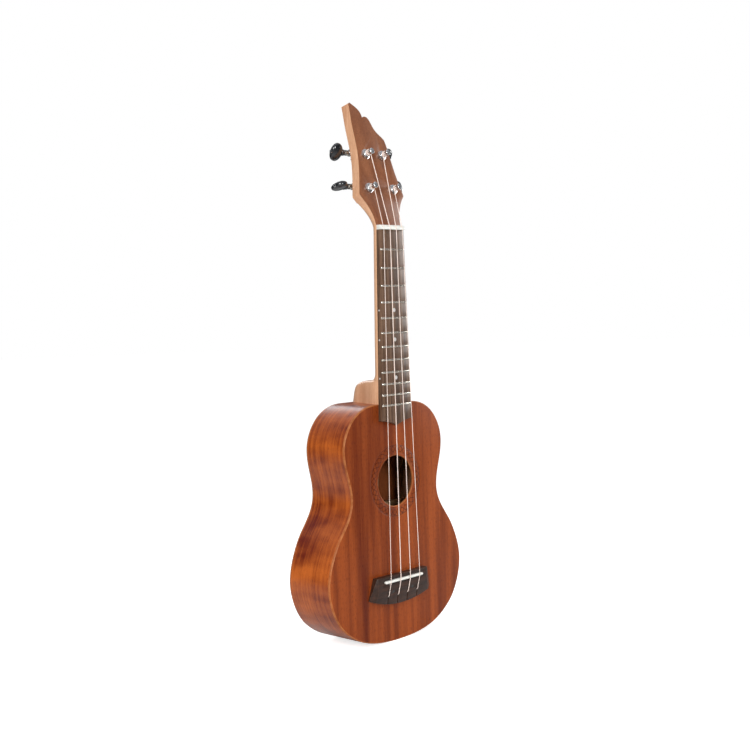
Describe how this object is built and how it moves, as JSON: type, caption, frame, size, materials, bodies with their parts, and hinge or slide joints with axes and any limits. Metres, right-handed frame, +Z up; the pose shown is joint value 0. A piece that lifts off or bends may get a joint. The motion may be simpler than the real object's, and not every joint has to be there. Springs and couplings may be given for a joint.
{
  "type": "soprano ukulele",
  "caption": "Soprano ukulele with a figure-eight body, round sound hole, feather-shaped leaning headstock and four geared tuners.",
  "frame": {"origin": "on the centre line at the tail end of the body, midway between the front of the strings and the back of the body", "axes": "+Z up along the neck, -Y out of the soundboard, +X towards the A string"},
  "size_m": [0.1934, 0.0684, 0.5374],
  "materials": {
    "mahogany": "satin",
    "mahogany_side": "satin lacquer",
    "pale_wood": "raw",
    "paper": "matt paper",
    "neck_wood": "satin",
    "head_veneer": "satin",
    "dark_wood": "oiled",
    "black_wood": "oiled",
    "nickel": "polished",
    "pearl": "pearl",
    "white_plastic": "polished",
    "chrome": "mirror",
    "steel": "machined",
    "brass": "machined",
    "black_plastic": "gloss",
    "nylon": "translucent nylon"
  },
  "bodies": {
    "instrument": {"soundboard": "mahogany", "back": "mahogany", "side_left": "mahogany_side", "side_right": "mahogany_side", "neck_block": "pale_wood", "tail_block": "pale_wood", "top_linings": "pale_wood", "back_linings": "pale_wood", "top_braces": "pale_wood", "back_braces": "pale_wood", "bridge_patch": "pale_wood", "label": "paper", "neck": "neck_wood", "head_veneer": "head_veneer", "fretboard": "dark_wood", "frets": "nickel", "position_dots": "pearl", "side_dots": "pearl", "string_g": "nylon", "string_c": "nylon", "string_e": "nylon", "string_a": "nylon", "nut": "white_plastic", "bridge": "dark_wood", "bridge_plugs": "black_wood", "saddle": "white_plastic", "tuner_bushings": "chrome", "tuner_screws": "chrome", "tuner_frame_g": "chrome", "tuner_frame_c": "chrome", "tuner_frame_e": "chrome", "tuner_frame_a": "chrome"},
    "turner_g": {"tuner_worm_g": "steel", "tuner_button_g": "black_plastic", "button_screw_g": "chrome"},
    "peg_g": {"string_post_g": "chrome", "tuner_gear_g": "brass", "winding_g": "nylon"},
    "turner_c": {"tuner_worm_c": "steel", "tuner_button_c": "black_plastic", "button_screw_c": "chrome"},
    "peg_c": {"string_post_c": "chrome", "tuner_gear_c": "brass", "winding_c": "nylon"},
    "turner_e": {"tuner_worm_e": "steel", "tuner_button_e": "black_plastic", "button_screw_e": "chrome"},
    "peg_e": {"string_post_e": "chrome", "tuner_gear_e": "brass", "winding_e": "nylon"},
    "turner_a": {"tuner_worm_a": "steel", "tuner_button_a": "black_plastic", "button_screw_a": "chrome"},
    "peg_a": {"string_post_a": "chrome", "tuner_gear_a": "brass", "winding_a": "nylon"}
  },
  "joints": [
    {"name": "button_turn_g", "type": "hinge", "parent": "instrument", "child": "turner_g", "pos_m": [-0.0171, 0.00122, 0.45397], "axis": [1, 0, 0], "continuous": true},
    {"name": "post_turn_g", "type": "hinge", "parent": "instrument", "child": "peg_g", "pos_m": [-0.0171, -0.0004, 0.44767], "axis": [0, -0.9681, 0.2504], "continuous": true},
    {"name": "button_turn_c", "type": "hinge", "parent": "instrument", "child": "turner_c", "pos_m": [-0.0116, 0.01006, 0.48814], "axis": [1, 0, 0], "continuous": true},
    {"name": "post_turn_c", "type": "hinge", "parent": "instrument", "child": "peg_c", "pos_m": [-0.0116, 0.00844, 0.48185], "axis": [0, -0.9681, 0.2504], "continuous": true},
    {"name": "button_turn_e", "type": "hinge", "parent": "instrument", "child": "turner_e", "pos_m": [0.0116, 0.01006, 0.48814], "axis": [1, 0, 0], "continuous": true},
    {"name": "post_turn_e", "type": "hinge", "parent": "instrument", "child": "peg_e", "pos_m": [0.0116, 0.00844, 0.48185], "axis": [0, -0.9681, 0.2504], "continuous": true},
    {"name": "button_turn_a", "type": "hinge", "parent": "instrument", "child": "turner_a", "pos_m": [0.0171, 0.00122, 0.45397], "axis": [1, 0, 0], "continuous": true},
    {"name": "post_turn_a", "type": "hinge", "parent": "instrument", "child": "peg_a", "pos_m": [0.0171, -0.0004, 0.44767], "axis": [0, -0.9681, 0.2504], "continuous": true}
  ],
  "couplings": [
    {"joint": "post_turn_g", "follows": "button_turn_g", "ratio": 0.071429},
    {"joint": "post_turn_c", "follows": "button_turn_c", "ratio": 0.071429},
    {"joint": "post_turn_e", "follows": "button_turn_e", "ratio": 0.071429},
    {"joint": "post_turn_a", "follows": "button_turn_a", "ratio": 0.071429}
  ]
}
